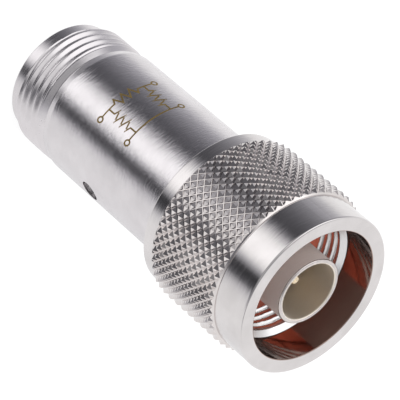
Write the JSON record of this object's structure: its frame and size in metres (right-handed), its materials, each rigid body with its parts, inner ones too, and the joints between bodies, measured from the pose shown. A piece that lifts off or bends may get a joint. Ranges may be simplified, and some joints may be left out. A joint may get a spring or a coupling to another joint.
{
  "type": "rf attenuator",
  "caption": "Fixed coaxial attenuator: a plain turned body with a threaded jack at one end and a plug with a knurled, free-turning coupling nut at the other.",
  "frame": {"origin": "centre of the jack's end face, on which the part stands", "axes": "+Z along the common axis, from the jack up to the plug; +X and +Y across it, the lock screw 18.9 degrees from +X towards -Y"},
  "size_m": [0.0208, 0.0208, 0.046],
  "materials": {
    "plated_metal": "fine turned, bright plated brass",
    "plated_nut": "fine turned and knurled, bright plated brass",
    "plated_contact": "satin plated brass",
    "gold_contact": "gold plated",
    "spring_bronze": "plain spring bronze",
    "carrier_brass": "turned brass",
    "silicone": "matte silicone",
    "seal_rubber": "matte rubber",
    "bead_plastic": "turned insulator",
    "card_ceramic": "fired ceramic",
    "screw_steel": "plain steel"
  },
  "bodies": {
    "body": {"body_housing": "plated_metal", "plug_shell": "plated_contact", "retaining_ring": "spring_bronze", "gasket": "silicone", "seal_ring": "seal_rubber", "plug_pin": "gold_contact", "plug_bead": "bead_plastic", "jack_socket": "gold_contact", "jack_bead": "bead_plastic", "carrier_half_a": "carrier_brass", "carrier_half_b": "carrier_brass", "attenuator_card": "card_ceramic", "lock_screw": "screw_steel"},
    "nut": {"coupling_nut": "plated_nut"}
  },
  "joints": [
    {"name": "nut_spin", "type": "hinge", "parent": "body", "child": "nut", "pos_m": [0, 0, 0.031], "axis": [0, 0, 1], "continuous": true}
  ]
}
